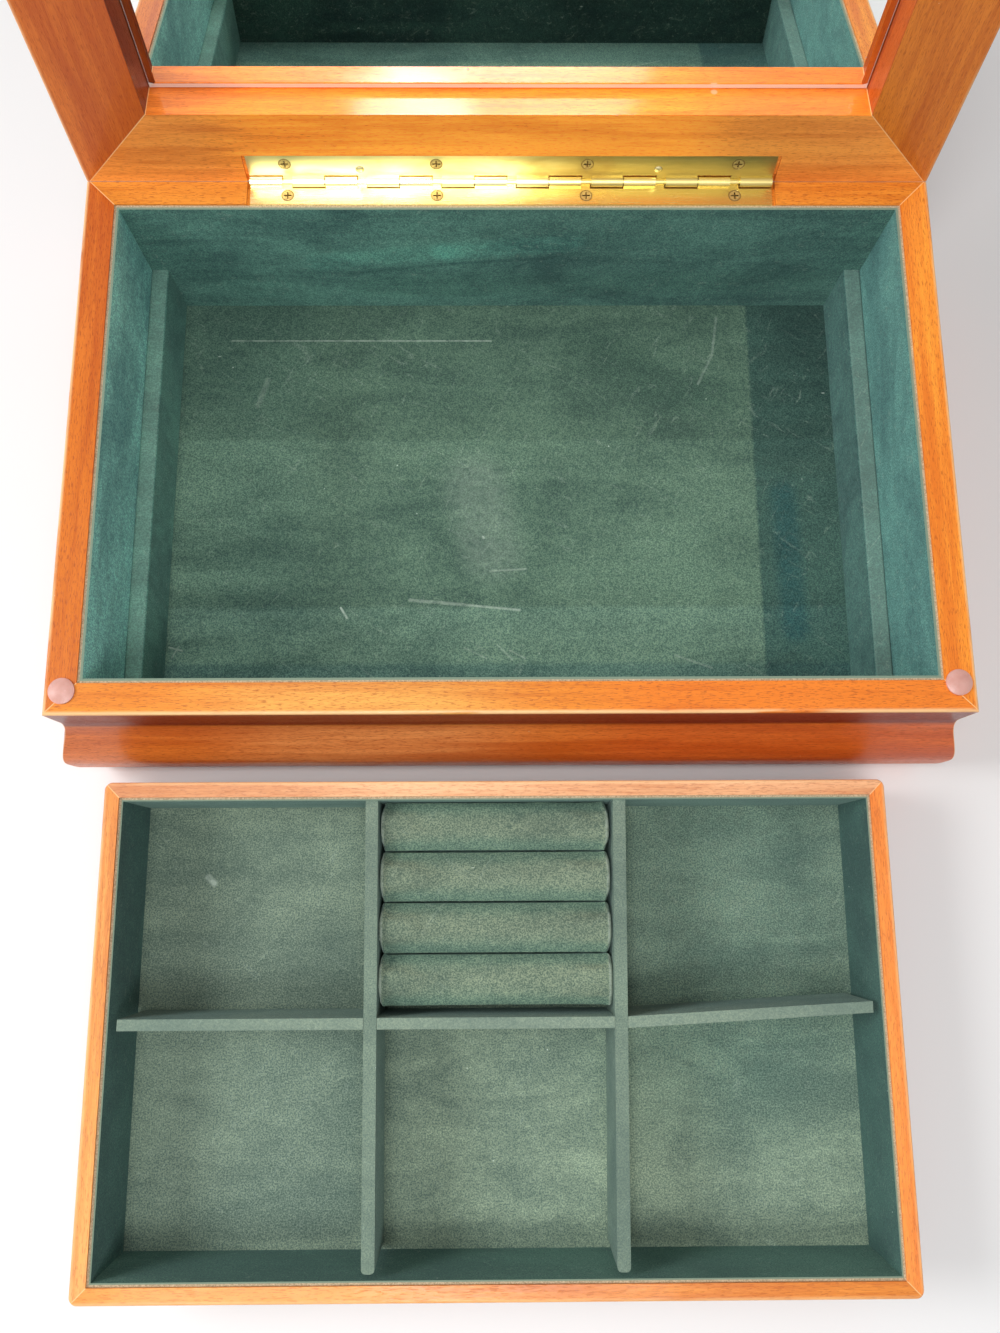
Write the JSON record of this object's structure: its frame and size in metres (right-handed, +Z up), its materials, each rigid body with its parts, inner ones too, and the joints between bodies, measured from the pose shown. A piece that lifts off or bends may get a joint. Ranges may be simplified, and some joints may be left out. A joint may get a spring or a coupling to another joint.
{
  "type": "jewelry box",
  "caption": "Lined hardwood jewelry box with a flared base, a hinged mirror lid and a divided lift-out tray with ring rolls.",
  "frame": {"origin": "centre of the case's underside, on the surface it stands on", "axes": "+X to the right, +Y to the hinge side, +Z up; the tray stands in front, at -Y"},
  "size_m": [0.3016, 0.405, 0.2485],
  "materials": {
    "wood_case": "gloss lacquer",
    "wood_lid": "gloss lacquer",
    "wood_tray": "gloss lacquer",
    "board": "plain",
    "felt_base": "baize",
    "felt_case": "suede nap",
    "felt_tray": "suede nap",
    "brass": "polished",
    "mirror": "silvered",
    "bumper": "clear, pinkish with age"
  },
  "bodies": {
    "case": {"case_wall_front": "wood_case", "case_wall_back": "wood_case", "case_wall_left": "wood_case", "case_wall_right": "wood_case", "case_bottom_board": "board", "base_felt": "felt_base", "lining_front": "felt_case", "lining_back": "felt_case", "lining_left": "felt_case", "lining_right": "felt_case", "lining_floor": "felt_case", "tray_ledge_left": "felt_case", "tray_ledge_right": "felt_case", "bumper_left": "bumper", "bumper_right": "bumper", "hinge_leaf_case": "brass", "hinge_pin": "brass", "hinge_screws_case": "brass"},
    "lid": {"lid_rail_back": "wood_lid", "lid_rail_front": "wood_lid", "lid_stile_left": "wood_lid", "lid_stile_right": "wood_lid", "lid_panel": "wood_lid", "mirror_glass": "mirror", "mirror_backing": "board", "hinge_leaf_lid": "brass", "hinge_screws_lid": "brass", "hinge_brads_lid": "brass"},
    "tray": {"tray_wall_front": "wood_tray", "tray_wall_back": "wood_tray", "tray_wall_left": "wood_tray", "tray_wall_right": "wood_tray", "tray_bottom": "board", "tray_floor": "felt_tray", "tray_lining_front": "felt_tray", "tray_lining_back": "felt_tray", "tray_lining_left": "felt_tray", "tray_lining_right": "felt_tray", "tray_divider_left": "felt_tray", "tray_divider_right": "felt_tray", "tray_cross_left": "felt_tray", "tray_cross_middle": "felt_tray", "tray_cross_right": "felt_tray", "ring_roll_1": "felt_tray", "ring_roll_2": "felt_tray", "ring_roll_3": "felt_tray", "ring_roll_4": "felt_tray"}
  },
  "joints": [
    {"name": "lid_hinge", "type": "hinge", "parent": "case", "child": "lid", "pos_m": [0, 0.0898, 0.0703], "axis": [1, 0, 0], "range_deg": [0, 99.35]},
    {"name": "tray_lift", "type": "slide", "parent": "case", "child": "tray", "axis": [0, 0, 1], "range_m": [0, 0.25]}
  ]
}
